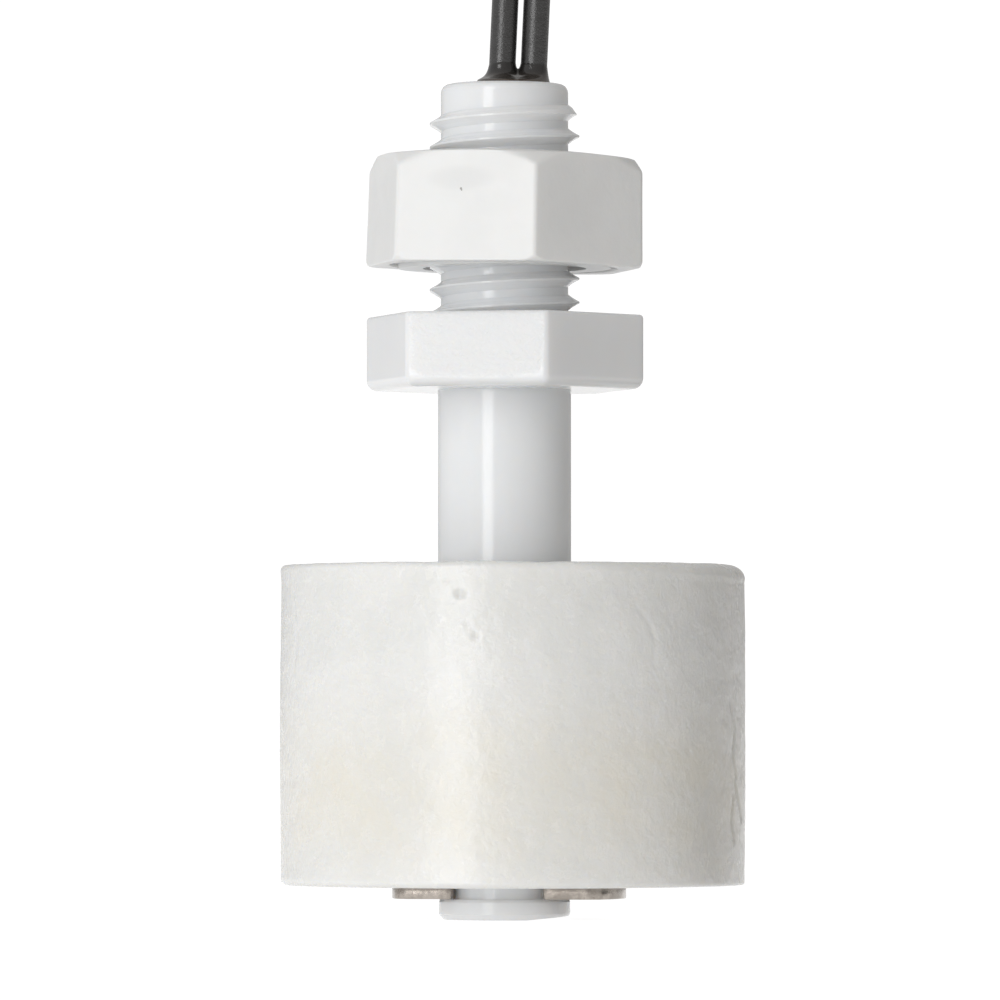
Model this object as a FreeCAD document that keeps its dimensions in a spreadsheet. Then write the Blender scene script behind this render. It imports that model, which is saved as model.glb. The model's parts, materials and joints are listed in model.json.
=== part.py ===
import FreeCAD, Part
import Sketcher
import math
import os

# Miniature vertical float switch.
# Frame: origin on the stem's axis at the top (seating) face of the hex flange, +Z up along the stem.
# Units: millimetres.

V = FreeCAD.Vector
doc = FreeCAD.newDocument("float_switch")
sheet = doc.addObject("Spreadsheet::Sheet", "dims")
sheet.Label = "dims"


class Q:
    """A number together with the spreadsheet expression that gives it."""

    def __init__(self, v, e=None):
        self.v = float(v)
        self.e = ("%.6g" % v) if e is None else e

    @staticmethod
    def of(x):
        return x if isinstance(x, Q) else Q(x)

    def __add__(self, o):
        o = Q.of(o)
        return Q(self.v + o.v, "(%s + %s)" % (self.e, o.e))

    def __radd__(self, o):
        return Q.of(o) + self

    def __sub__(self, o):
        o = Q.of(o)
        return Q(self.v - o.v, "(%s - %s)" % (self.e, o.e))

    def __rsub__(self, o):
        return Q.of(o) - self

    def __mul__(self, o):
        o = Q.of(o)
        return Q(self.v * o.v, "(%s * %s)" % (self.e, o.e))

    def __rmul__(self, o):
        return Q.of(o) * self

    def __truediv__(self, o):
        o = Q.of(o)
        return Q(self.v / o.v, "(%s / %s)" % (self.e, o.e))

    def __neg__(self):
        return Q(-self.v, "(0 - %s)" % self.e)


row = [0]


def dim(name, value):
    row[0] += 1
    sheet.set("A%d" % row[0], name)
    sheet.set("B%d" % row[0], "%.6g" % value)
    sheet.setAlias("B%d" % row[0], name)
    return Q(value, "dims." + name)


# stem moulding
stem_rad = dim("stem_rad", 3.5)
neck_rad = dim("neck_rad", 3.35)
crest_rad = dim("crest_rad", 3.94)
pitch = dim("thread_pitch", 1.25)
flange_af = dim("flange_af", 13.0)
flange_thick = dim("flange_thick", 3.9)
flange_turn = dim("flange_turn", -13.0)
stem_top = dim("stem_top", 12.2)
stem_foot = dim("stem_foot", -31.7)
bore_rad = dim("bore_rad", 2.25)
bore_foot = dim("bore_foot", -27.0)
groove_rad = dim("groove_rad", 3.0)
groove_top = dim("groove_top", -29.88)
groove_low = dim("groove_low", -30.62)
relief_rad = dim("relief_rad", 4.1)
relief_deep = dim("relief_deep", 0.15)
# nut
nut_af = dim("nut_af", 13.2)
nut_low = dim("nut_low", 2.5)
nut_top = dim("nut_top", 8.5)
nut_turn = dim("nut_turn", -17.9)
nut_bore = dim("nut_bore", 3.47)
nut_circle = dim("nut_circle", 5.2)
recess_rad = dim("recess_rad", 6.0)
recess_deep = dim("recess_deep", 0.25)
face_rad = dim("washer_face_rad", 5.6)
face_bore = dim("washer_face_bore", 4.3)
thread_gap = dim("thread_gap", 0.12)
# float
float_rad = dim("float_rad", 12.2)
float_bore = dim("float_bore", 4.075)
float_low = dim("float_low", -29.88)
float_top = dim("float_top", -13.08)
float_off = dim("float_off", 0.43)
pocket_in = dim("pocket_in", 5.0)
pocket_out = dim("pocket_out", 8.0)
pocket_top = dim("pocket_top", -22.6)
cap_top = dim("cap_top", -28.4)
magnet_in = dim("magnet_in", 5.2)
magnet_out = dim("magnet_out", 7.8)
magnet_low = dim("magnet_low", -27.6)
# retaining clip
clip_rad = dim("clip_rad", 6.15)
clip_low = dim("clip_low", -30.60)
clip_thick = dim("clip_thick", 0.7)
clip_open = dim("clip_open", 4.8)
clip_turn = dim("clip_turn", -102.0)
clip_off = dim("clip_off", 0.24)
clip_chord = dim("clip_chord", 3.1)
# reed switch
reed_x = dim("reed_x", -0.75)
glass_rad = dim("glass_rad", 1.15)
cavity_rad = dim("cavity_rad", 0.75)
glass_low = dim("glass_low", -23.4)
glass_top = dim("glass_top", -9.4)
seal_len = dim("seal_len", 1.5)
pin_rad = dim("pin_rad", 0.25)
blade_wide = dim("blade_wide", 1.0)
blade_thick = dim("blade_thick", 0.2)
return_x = dim("return_x", 1.35)
core_rad = dim("core_rad", 0.3)
potting_low = dim("potting_low", -3.0)
meniscus_top = dim("meniscus_top", 13.4)
# leads
lead_rad = dim("lead_rad", 0.7)
lead_gap = dim("lead_spacing", 1.66)
coil_x = dim("coil_x", 43.8)
coil_y = dim("coil_y", 6.0)
coil_out = dim("coil_out", 11.2)
coil_in = dim("coil_in", 4.9)
coil_tall = dim("coil_tall", 3.0)
tip_rad = dim("tip_rad", 0.3)
tip_len = dim("tip_len", 6.0)
doc.recompute()


def bind(obj, prop, q):
    q = Q.of(q)
    if "dims." in q.e:
        obj.setExpression(prop, q.e)
    else:
        setattr(obj, prop, q.v)


def plane_of(body, role):
    return [f for f in body.Origin.OriginFeatures if f.Role == role][0]


def new_body(name):
    b = doc.addObject("PartDesign::Body", name)
    b.Label = name
    return b


def polygon(body, name, role, pts):
    """A closed sketch of straight edges whose every corner is dimensioned from the origin."""
    sk = body.newObject("Sketcher::SketchObject", name)
    sk.AttachmentSupport = [(plane_of(body, role), "")]
    sk.MapMode = "FlatFace"
    pts = [(Q.of(a), Q.of(b)) for a, b in pts]
    n = len(pts)
    for i in range(n):
        a, b = pts[i], pts[(i + 1) % n]
        sk.addGeometry(
            Part.LineSegment(V(a[0].v, a[1].v, 0), V(b[0].v, b[1].v, 0)), False
        )
    for i in range(n):
        sk.addConstraint(Sketcher.Constraint("Coincident", i, 2, (i + 1) % n, 1))
    for i, (a, b) in enumerate(pts):
        for kind, q in (("DistanceX", a), ("DistanceY", b)):
            c = sk.addConstraint(Sketcher.Constraint(kind, -1, 1, i, 1, q.v))
            if "dims." in q.e:
                sk.setExpression("Constraints[%d]" % c, q.e)
    return sk


def revolve(body, name, pts, cut=False):
    sk = polygon(body, name + "_sketch", "XZ_Plane", pts)
    kind = "PartDesign::Groove" if cut else "PartDesign::Revolution"
    f = body.newObject(kind, name)
    f.Profile = sk
    f.ReferenceAxis = (sk, ["V_Axis"])
    f.Angle = 360
    doc.recompute()
    return f


def volume_of(f):
    return f.Shape.Volume


def checked_cut(body, make):
    before = body.Shape.Volume
    f = make()
    doc.recompute()
    if not f.Shape.Volume < before - 1e-4:
        raise RuntimeError("a cut removed nothing: " + f.Name)
    return f


def edges_where(shape, test):
    return ["Edge%d" % (i + 1) for i, e in enumerate(shape.Edges) if test(e)]


def hex_points(af, turn_deg):
    """Corners of a hexagon: across flats af, first corner turned by turn_deg from +X."""
    pts = []
    for k in range(6):
        ang = "(%s + %d) * 1 deg" % (turn_deg.e, 60 * k)
        a = math.radians(turn_deg.v + 60 * k)
        r = af.v / math.sqrt(3)
        pts.append(
            (
                Q(r * math.cos(a), "(%s / sqrt(3) * cos(%s))" % (af.e, ang)),
                Q(r * math.sin(a), "(%s / sqrt(3) * sin(%s))" % (af.e, ang)),
            )
        )
    return pts


def thread_profile(base, grow, inner):
    """Half profile of the thread's ridge about the height base, grown by grow."""
    steps = [
        (inner, 0.52 + grow.v),
        (neck_rad.v + 0.03 + grow.v, 0.40 + grow.v),
        (neck_rad.v + 0.25 + grow.v, 0.235 + grow.v),
        (neck_rad.v + 0.47 + grow.v, 0.11 + grow.v),
        (crest_rad.v + grow.v, 0.05 + grow.v),
    ]
    low = [(Q(r), base - h) for r, h in steps]
    high = [(Q(r), base + h) for r, h in reversed(steps)]
    return low + high


# --- stem: tube, hex flange, thread, clip groove and end lip in one moulding ---------------------
stem = new_body("stem_body")
hexa = polygon(stem, "flange_sketch", "XY_Plane", hex_points(flange_af, flange_turn))
pad = stem.newObject("PartDesign::Pad", "flange_pad")
pad.Profile = hexa
pad.Reversed = True
bind(pad, "Length", flange_thick)
doc.recompute()


def is_vertical(e):
    return abs(e.BoundBox.ZLength - flange_thick.v) < 1e-6


fil = stem.newObject("PartDesign::Fillet", "flange_corners")
fil.Base = (pad, edges_where(pad.Shape, is_vertical))
fil.Radius = 0.35
doc.recompute()
fil2 = stem.newObject("PartDesign::Fillet", "flange_under_edge")
fil2.Base = (
    fil,
    edges_where(fil.Shape, lambda e: abs(e.BoundBox.ZMax + flange_thick.v) < 1e-6),
)
fil2.Radius = 0.55
doc.recompute()
fil3 = stem.newObject("PartDesign::Fillet", "flange_top_edge")
fil3.Base = (fil2, edges_where(fil2.Shape, lambda e: abs(e.BoundBox.ZMin) < 1e-6))
fil3.Radius = 0.2
doc.recompute()
checked_cut(
    stem,
    lambda: revolve(
        stem,
        "thread_relief",
        [
            (0, -relief_deep),
            (relief_rad, -relief_deep),
            (relief_rad, 1.0),
            (0, 1.0),
        ],
        cut=True,
    ),
)
neck = revolve(
    stem,
    "neck",
    [
        (0, -1.0),
        (neck_rad, -1.0),
        (neck_rad, stem_top - 0.45),
        (neck_rad - 0.035, stem_top - 0.28),
        (neck_rad - 0.13, stem_top - 0.13),
        (neck_rad - 0.28, stem_top - 0.035),
        (neck_rad - 0.45, stem_top),
        (0, stem_top),
    ],
)
tube = revolve(
    stem,
    "stem_tube",
    [
        (0, -flange_thick + 1.0),
        (stem_rad, -flange_thick + 1.0),
        (stem_rad, groove_top),
        (groove_rad, groove_top),
        (groove_rad, groove_low),
        (stem_rad - 0.12, groove_low),
        (stem_rad - 0.05, groove_low - 0.15),
        (stem_rad - 0.05, stem_foot + 0.3),
        (stem_rad - 0.3, stem_foot),
        (0, stem_foot),
    ],
)
ridge_sketch = polygon(
    stem, "ridge_sketch", "XZ_Plane", thread_profile(Q(-0.53), Q(0), 3.2)
)
ridge = stem.newObject("PartDesign::AdditiveHelix", "thread")
ridge.Profile = ridge_sketch
ridge.ReferenceAxis = (ridge_sketch, ["V_Axis"])
ridge.Mode = 0
bind(ridge, "Pitch", pitch)
bind(ridge, "Height", pitch * 9)
ridge.Angle = 0
ridge.LeftHanded = False
ridge.Reversed = False
doc.recompute()
checked_cut(
    stem,
    lambda: revolve(
        stem,
        "thread_runout",
        [(3.36, 11.25), (4.3, 11.25), (4.3, 9.95)],
        cut=True,
    ),
)
checked_cut(
    stem,
    lambda: revolve(
        stem,
        "stem_bore",
        [
            (0, bore_foot - 0.6),
            (bore_rad, bore_foot),
            (bore_rad, stem_top + 1.0),
            (0, stem_top + 1.0),
        ],
        cut=True,
    ),
)


def slant():
    sk = polygon(
        stem,
        "foot_slant_sketch",
        "XZ_Plane",
        [(1.2, stem_foot - 0.2), (1.2, stem_foot), (3.7, stem_foot + 0.22), (3.7, stem_foot - 0.2)],
    )
    p = stem.newObject("PartDesign::Pocket", "foot_slant")
    p.Profile = sk
    p.Type = 1
    p.Midplane = True
    return p


checked_cut(stem, slant)

# --- nut -----------------------------------------------------------------------------------------
nut = new_body("mounting_nut")
nhex = polygon(nut, "nut_sketch", "XY_Plane", hex_points(nut_af + 0.1, nut_turn))
nhex.AttachmentOffset = FreeCAD.Placement(V(0, 0, nut_low.v), FreeCAD.Rotation())
nhex.setExpression("AttachmentOffset.Base.z", nut_low.e)
npad = nut.newObject("PartDesign::Pad", "nut_pad")
npad.Profile = nhex
bind(npad, "Length", nut_top - nut_low)
npad.TaperAngle = -1.0
doc.recompute()
nfil = nut.newObject("PartDesign::Fillet", "nut_corners")
nfil.Base = (
    npad,
    edges_where(npad.Shape, lambda e: e.BoundBox.ZLength > 5.0),
)
nfil.Radius = 0.25
doc.recompute()
checked_cut(
    nut,
    lambda: revolve(
        nut,
        "nut_top_chamfer",
        [
            (nut_circle - 0.20, nut_top + 0.02),
            (9.0, nut_top + 0.02),
            (9.0, nut_top - 2.2),
            (nut_circle + 1.7, nut_top - 0.20),
        ],
        cut=True,
    ),
)
checked_cut(
    nut,
    lambda: revolve(
        nut,
        "nut_under_chamfer",
        [(7.28, nut_low - 0.02), (8.4, nut_low - 0.02), (8.4, nut_low + 0.95)],
        cut=True,
    ),
)
checked_cut(
    nut,
    lambda: revolve(
        nut,
        "nut_hole",
        [
            (0, nut_low - 1.0),
            (recess_rad, nut_low - 1.0),
            (recess_rad, nut_low + recess_deep),
            (4.15, nut_low + recess_deep),
            (nut_bore, nut_low + recess_deep + 0.7),
            (nut_bore, nut_top - 0.6),
            (4.1, nut_top),
            (4.1, nut_top + 1.0),
            (0, nut_top + 1.0),
        ],
        cut=True,
    ),
)
cut_sketch = polygon(
    nut, "nut_thread_sketch", "XZ_Plane", thread_profile(Q(0.72 + 1.25), thread_gap, 3.3)
)
ncut = nut.newObject("PartDesign::SubtractiveHelix", "nut_thread")
ncut.Profile = cut_sketch
ncut.ReferenceAxis = (cut_sketch, ["V_Axis"])
ncut.Mode = 0
bind(ncut, "Pitch", pitch)
bind(ncut, "Height", pitch * 6)
ncut.Angle = 0
ncut.LeftHanded = False
ncut.Reversed = False
doc.recompute()

face = new_body("nut_washer_face")
revolve(
    face,
    "washer_face",
    [
        (face_bore, nut_low),
        (face_rad, nut_low),
        (face_rad, nut_low + recess_deep),
        (face_bore, nut_low + recess_deep),
    ],
)

# --- float: moulding, magnet, glue, end cap ------------------------------------------------------
shell = new_body("float_body")
revolve(
    shell,
    "float_moulding",
    [
        (float_bore + 0.25, float_low),
        (float_rad - 0.3, float_low),
        (float_rad - 0.09, float_low + 0.09),
        (float_rad, float_low + 0.3),
        (float_rad, float_top - 0.6),
        (float_rad - 0.05, float_top - 0.37),
        (float_rad - 0.18, float_top - 0.18),
        (float_rad - 0.37, float_top - 0.05),
        (float_rad - 0.6, float_top),
        (float_bore + 0.25, float_top),
        (float_bore, float_top - 0.25),
        (float_bore, float_low + 0.25),
    ],
)
checked_cut(
    shell,
    lambda: revolve(
        shell,
        "magnet_pocket",
        [
            (pocket_in, float_low - 1.0),
            (pocket_out, float_low - 1.0),
            (pocket_out, pocket_top),
            (pocket_in, pocket_top),
        ],
        cut=True,
    ),
)
magnet = new_body("ring_magnet")
revolve(
    magnet,
    "magnet_ring",
    [
        (magnet_in, magnet_low),
        (magnet_out, magnet_low),
        (magnet_out, pocket_top),
        (magnet_in, pocket_top),
    ],
)
glue = new_body("magnet_potting")
revolve(
    glue,
    "glue_channel",
    [
        (pocket_in, cap_top),
        (pocket_out, cap_top),
        (pocket_out, pocket_top),
        (magnet_out, pocket_top),
        (magnet_out, magnet_low),
        (magnet_in, magnet_low),
        (magnet_in, pocket_top),
        (pocket_in, pocket_top),
    ],
)
endcap = new_body("float_end_cap")
revolve(
    endcap,
    "end_cap",
    [
        (pocket_in, float_low),
        (pocket_out, float_low),
        (pocket_out, cap_top),
        (pocket_in, cap_top),
    ],
)
for b in (shell, magnet, glue, endcap):
    b.setExpression("Placement.Base.x", float_off.e)

# --- retaining clip: E shape, pressed from sheet --------------------------------------------------


def prim(kind, name, **props):
    o = doc.addObject("Part::" + kind, name)
    for k, q in props.items():
        bind(o, k, q)
    return o


def boolean(kind, name, base, tool):
    o = doc.addObject("Part::" + kind, name)
    o.Base = base
    o.Tool = tool
    return o


def fuse(name, shapes):
    o = doc.addObject("Part::MultiFuse", name)
    o.Shapes = shapes
    return o


def place(o, x=0, y=0, z=0, rot=None):
    o.Placement = FreeCAD.Placement(
        V(Q.of(x).v, Q.of(y).v, Q.of(z).v), rot or FreeCAD.Rotation()
    )
    for axis, q in (("x", x), ("y", y), ("z", z)):
        q = Q.of(q)
        if "dims." in q.e:
            o.setExpression("Placement.Base." + axis, q.e)
    return o


# built with its opening towards +X, then turned
disc = prim("Cylinder", "clip_disc", Radius=clip_rad, Height=clip_thick)
hollow = prim("Cylinder", "clip_hollow", Radius=4.35, Height=clip_thick + 2)
place(hollow, 0, 0, -1)
band = boolean("Cut", "clip_band", disc, hollow)
arms = []
for k, (ang, wide) in enumerate(((180, 2.6), (47, 2.0), (-47, 2.0))):
    arm = prim("Box", "clip_arm_%d" % k, Length=3.0, Width=wide, Height=clip_thick)
    a = math.radians(ang)
    place(
        arm,
        2.2 * math.cos(a) + wide / 2 * math.sin(a),
        2.2 * math.sin(a) - wide / 2 * math.cos(a),
        0,
        FreeCAD.Rotation(V(0, 0, 1), ang),
    )
    arms.append(arm)
clip_full = fuse("clip_full", [band] + arms)
seat_hole = prim("Cylinder", "clip_seat", Radius=groove_rad + 0.01, Height=clip_thick + 2)
# the clip sits a little to one side in its groove, so its seat is off its own centre
place(
    seat_hole,
    clip_off * Q(math.cos(math.radians(clip_turn.v)), "cos(dims.clip_turn * 1 deg)") * -1,
    clip_off * Q(math.sin(math.radians(clip_turn.v)), "sin(dims.clip_turn * 1 deg)"),
    -1,
)
slot = prim("Box", "clip_slot", Length=10, Width=clip_open, Height=clip_thick + 2)
place(slot, 0.5, -(clip_open / 2), -1)
front = prim("Box", "clip_front", Length=6, Width=14, Height=clip_thick + 2)
place(front, clip_chord, -7, -1)
clip_tools = fuse("clip_tools", [seat_hole, slot, front])
clip_raw = boolean("Cut", "clip_raw", clip_full, clip_tools)
doc.recompute()
clip = doc.addObject("Part::Fillet", "retaining_clip")
clip.Label = "retaining_clip"
clip.Base = clip_raw
clip.Edges = [
    (i + 1, r, r)
    for i, e in enumerate(clip_raw.Shape.Edges)
    for r in [0.9 if abs(e.CenterOfMass.y) > 4.0 else 0.3]
    if abs(e.BoundBox.ZLength - clip_thick.v) < 1e-4
    and e.BoundBox.XLength < 1e-4
    and abs(e.CenterOfMass.x - clip_chord.v) < 1e-4
    and (abs(e.CenterOfMass.y) > 5.0 or abs(abs(e.CenterOfMass.y) - clip_open.v / 2) < 1e-4)
]
clip.Placement = FreeCAD.Placement(
    V(clip_off.v, 0, clip_low.v), FreeCAD.Rotation(V(0, 0, 1), clip_turn.v)
)
clip.setExpression("Placement.Base.x", clip_off.e)
clip.setExpression("Placement.Base.z", clip_low.e)

# --- reed switch -----------------------------------------------------------------------------------
glass = new_body("reed_capsule")
glass_end = 0.45
revolve(
    glass,
    "capsule_wall",
    [
        (pin_rad, glass_low),
        (glass_rad - glass_end, glass_low),
        (glass_rad - 0.13, glass_low + 0.13),
        (glass_rad, glass_low + glass_end),
        (glass_rad, glass_top - glass_end),
        (glass_rad - 0.13, glass_top - 0.13),
        (glass_rad - glass_end, glass_top),
        (pin_rad, glass_top),
        (pin_rad, glass_top - seal_len),
        (cavity_rad, glass_top - seal_len - 0.3),
        (cavity_rad, glass_low + seal_len + 0.3),
        (pin_rad, glass_low + seal_len),
    ],
)
glass.setExpression("Placement.Base.x", reed_x.e)

up_pin = prim("Cylinder", "upper_pin", Radius=pin_rad, Height=4.9)
place(up_pin, reed_x, 0, Q(-11.3))
up_tongue = prim("Box", "upper_tongue", Length=blade_thick, Width=blade_wide, Height=6.15)
place(up_tongue, reed_x + 0.03, -(blade_wide / 2), Q(-17.4))
blade_fixed = fuse("reed_blade_fixed", [up_pin, up_tongue])
blade_fixed.Label = "reed_blade_fixed"

low_pin = prim("Cylinder", "reed_pin_lower", Radius=pin_rad, Height=4.2)
low_pin.Label = "reed_pin_lower"
place(low_pin, reed_x, 0, Q(-25.65))

blade = prim("Box", "reed_blade_moving", Length=blade_thick, Width=blade_wide, Height=6.0)
blade.Label = "reed_blade_moving"
place(blade, reed_x - 0.35, -(blade_wide / 2), Q(-21.4))


def feature(name, shape):
    o = doc.addObject("Part::Feature", name)
    o.Label = name
    o.Shape = shape
    o.Placement = FreeCAD.Placement()
    return o


def route_wire(points, floor=0.0):
    """Straight runs joined by tangent arcs: radius 0.45 of the shorter run over the tangent of half the turn."""
    pts = [V(*p) for p in points]
    edges, radii, start = [], [], pts[0]
    for i in range(1, len(pts) - 1):
        a, b, c = pts[i - 1], pts[i], pts[i + 1]
        d1, d2 = (b - a), (c - b)
        l1, l2 = d1.Length, d2.Length
        d1.normalize()
        d2.normalize()
        turn = math.acos(max(-1.0, min(1.0, d1.dot(d2))))
        cut = 0.45 * min(l1, l2)
        radii.append(cut / math.tan(turn / 2))
        t1, t2 = b - d1 * cut, b + d2 * cut
        into = d2 - d1
        into.normalize()
        radius = radii[-1]
        centre = b + into * (radius / math.cos(turn / 2))
        mid = centre - into * radius
        if (t1 - start).Length > 1e-6:
            edges.append(Part.LineSegment(start, t1).toShape())
        edges.append(Part.Arc(t1, mid, t2).toShape())
        start = t2
    edges.append(Part.LineSegment(start, pts[-1]).toShape())
    return Part.Wire(edges), radii


def tube_along(name, points, radius):
    wire, radii = route_wire(points)
    d = V(*points[1]) - V(*points[0])
    circle = Part.Wire([Part.Circle(V(*points[0]), d, radius).toShape()])
    solid = wire.makePipeShell([circle], True, False)
    if solid.ShapeType != "Solid":
        solid = Part.Solid(solid.Shells[0] if solid.Shells else solid)
    expect = math.pi * radius * radius * wire.Length
    print(
        "%s: length %.2f mm, radii %s, volume %.4f of %.4f"
        % (name, wire.Length, ["%.1f" % x for x in radii], solid.Volume, expect)
    )
    if abs(solid.Volume / expect - 1) > 0.01:
        raise RuntimeError(name + " has the wrong volume")
    return solid


# the bare wire that brings the lower pin's connection back up beside the capsule
return_pts = [
    (return_x.v, 0, -6.4),
    (return_x.v, 0, -25.9),
    (-1.15, 0, -25.9),
]
rw = Part.Wire(
    [
        Part.LineSegment(V(return_x.v, 0, -6.4), V(return_x.v, 0, -25.2)).toShape(),
        Part.Arc(
            V(return_x.v, 0, -25.2),
            V(return_x.v - 0.7 + 0.7 * math.cos(math.pi / 4), 0, -25.2 - 0.7 * math.sin(math.pi / 4)),
            V(return_x.v - 0.7, 0, -25.9),
        ).toShape(),
        Part.LineSegment(V(return_x.v - 0.7, 0, -25.9), V(-1.15, 0, -25.9)).toShape(),
    ]
)
rs = rw.makePipeShell(
    [Part.Wire([Part.Circle(V(return_x.v, 0, -6.4), V(0, 0, -1), pin_rad.v).toShape()])],
    True,
    False,
)
return_lead = feature("return_lead", rs)

sleeve_out = prim("Cylinder", "sleeve_outer", Radius=0.45, Height=16.8)
place(sleeve_out, return_x, 0, Q(-24.6))
sleeve_in = prim("Cylinder", "sleeve_inner", Radius=pin_rad, Height=20)
place(sleeve_in, return_x, 0, Q(-26.0))
sleeve = boolean("Cut", "return_lead_sleeve", sleeve_out, sleeve_in)
sleeve.Label = "return_lead_sleeve"

# --- leads -----------------------------------------------------------------------------------------
lean = math.tan(math.radians(2.6))
lead_z = 11.0
core_z = -6.3
floor = stem_foot.v

# route of the lower, outer lead as run directions and lengths in the XZ plane
b_pts = [(1.4455, 0.0, 11.0)]
for ang, run in (
    (87.4, 15.7),
    (27.4, 15.7),
    (-32.6, 15.7),
    (-91.0, 22.0),
    (-86.0, 19.0),
    (-76.0, 9.5),
    (-52.0, 5.5),
):
    x, _, z = b_pts[-1]
    a = math.radians(ang)
    b_pts.append((x + run * math.cos(a), 0.0, z + run * math.sin(a)))
x, _, z = b_pts[-1]
drop = z - (floor + 0.7)
b_pts.append((x + drop / math.tan(math.radians(26.0)), 0.0, floor + 0.7))
b_pts.append((b_pts[-1][0] + 4.0, 0.0, floor + 0.7))


def offset_route(pts, gap, last_gap):
    """The parallel route at gap to the left of the direction of travel, closing to last_gap."""
    n = len(pts)
    lines = []
    for i in range(n - 1):
        (x0, _, z0), (x1, _, z1) = pts[i], pts[i + 1]
        l = math.hypot(x1 - x0, z1 - z0)
        g = gap if i < n - 4 else last_gap
        nx, nz = -(z1 - z0) / l * g, (x1 - x0) / l * g
        lines.append(((x0 + nx, z0 + nz), ((x1 - x0) / l, (z1 - z0) / l)))
    out = [(lines[0][0][0], 0.0, lines[0][0][1])]
    for i in range(1, n - 1):
        (p, d), (q, e) = lines[i - 1], lines[i]
        den = d[0] * e[1] - d[1] * e[0]
        t = ((q[0] - p[0]) * e[1] - (q[1] - p[1]) * e[0]) / den
        out.append((p[0] + d[0] * t, 0.0, p[1] + d[1] * t))
    (p, d) = lines[-1]
    l = pts[-1][0] - pts[-2][0]
    out.append((pts[-1][0], 0.0, p[1]))
    return out


a_pts = offset_route(b_pts, lead_gap.v, 1.42)
# both leads swing forward a little on their way down, to where the coil lies
swing = [0.0, 0.0, -0.6, -2.4, -3.9, -4.5, -4.5, -4.5, -4.5, -4.5]
a_pts = [(x, y, z) for (x, _, z), y in zip(a_pts, swing)]
b_pts = [(x, y, z) for (x, _, z), y in zip(b_pts, swing)]
print("lead_a route", [tuple(round(c, 3) for c in p) for p in a_pts])
print("lead_b route", [tuple(round(c, 3) for c in p) for p in b_pts])
lead_a = feature("lead_a", tube_along("lead_a", a_pts, lead_rad.v))
lead_b = feature("lead_b", tube_along("lead_b", b_pts, lead_rad.v))


def rod(name, p, q, r):
    d = V(*q) - V(*p)
    return feature(name, Part.makeCylinder(r, d.Length, V(*p), d))


core_a = rod("lead_core_a", (reed_x.v, 0, core_z), a_pts[0], core_rad.v)
core_b = rod("lead_core_b", (return_x.v, 0, core_z), b_pts[0], core_rad.v)


def blob(name, x, z, r, tall):
    """A short solder barrel with a rounded top and bottom edge."""
    c = Part.makeCylinder(r, tall, V(x, 0, z - tall / 2))
    c = c.makeFillet(0.2, [e for e in c.Edges if e.Closed and e.BoundBox.ZLength < 1e-6])
    return c


doc.recompute()
# upper joints: the conductor and the pin meet end to end inside a solder barrel, which
# has a straight hole wide enough for the conductor's slight lean
for nm, x in (("solder_joint_a", reed_x.v), ("solder_joint_b", return_x.v)):
    barrel = blob(nm, x, -6.35, 0.55, 2.0)
    hole = Part.makeCylinder(core_rad.v + 0.05, 3.0, V(x, 0, -7.85))
    feature(nm, barrel.cut(hole))
# lower joint: a cap of solder that covers the pin's last millimetre, above the return wire
cap = blob("solder_joint_lower", reed_x.v, -25.2, 0.5, 0.85)
feature("solder_joint_lower", cap.cut(Part.makeCylinder(pin_rad.v, 3.0, V(reed_x.v, 0, -26.5))))

# --- potting in the stem's mouth, drawn up round the leads ----------------------------------------
fill = Part.makeCylinder(bore_rad.v, stem_top.v - potting_low.v, V(0, 0, potting_low.v))
loops = []
for z, sx, sy, cx in (
    (12.2, 2.12, 2.1, 0.10),
    (12.38, 1.98, 1.62, 0.42),
    (12.75, 1.78, 1.12, 0.62),
    (13.4, 1.66, 0.82, 0.72),
):
    e = Part.Ellipse(V(0, 0, 0), sx + 0.001, sy)
    w = Part.Wire([e.toShape()])
    w.translate(V(cx, 0, z))
    loops.append(w)
skirt = Part.makeLoft(loops, True, False)
plug = fill.fuse(skirt)
for t in (lead_a.Shape, lead_b.Shape, core_a.Shape, core_b.Shape):
    plug = plug.cut(t)
plug = plug.removeSplitter()
if plug.ShapeType == "Compound" and len(plug.Solids) == 1:
    plug = plug.Solids[0]
potting = feature("potting_plug", plug)

# --- the put-away length of both leads, and its tie ------------------------------------------------
ring_out = prim("Cylinder", "coil_outer", Radius=coil_out, Height=coil_tall)
place(ring_out, coil_x, coil_y, stem_foot)
ring_in = prim("Cylinder", "coil_inner", Radius=coil_in, Height=coil_tall + 2)
place(ring_in, coil_x, coil_y, stem_foot - 1)
coil_ring = boolean("Cut", "coil_ring", ring_out, ring_in)

tie_out = prim("Box", "tie_outer", Length=coil_out - coil_in + 0.8, Width=1.6, Height=coil_tall + 0.4)
place(tie_out, coil_x + coil_in - 0.4, coil_y - 0.8, stem_foot)
tie_in = prim("Box", "tie_inner", Length=coil_out - coil_in, Width=3.0, Height=coil_tall - 0.3)
place(tie_in, coil_x + coil_in, coil_y - 1.5, stem_foot + 0.3)
tie = boolean("Cut", "coil_tie", tie_out, tie_in)
tie.Label = "coil_tie"
coil = boolean("Cut", "lead_coil", coil_ring, tie)
coil.Label = "lead_coil"


tip_a = prim("Cylinder", "lead_tip_a", Radius=tip_rad, Height=tip_len)
tip_a.Label = "lead_tip_a"
place(tip_a, coil_x - 1.6, coil_y + 4.0, stem_foot + 2.1, FreeCAD.Rotation(V(0, 0, 1), V(-0.9, -0.44, 0)))
tip_b = prim("Cylinder", "lead_tip_b", Radius=tip_rad, Height=tip_len)
tip_b.Label = "lead_tip_b"
place(tip_b, coil_x - 2.4, coil_y + 3.4, stem_foot + 0.7, FreeCAD.Rotation(V(0, 0, 1), V(-0.5, -0.86, 0)))

doc.recompute()

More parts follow.
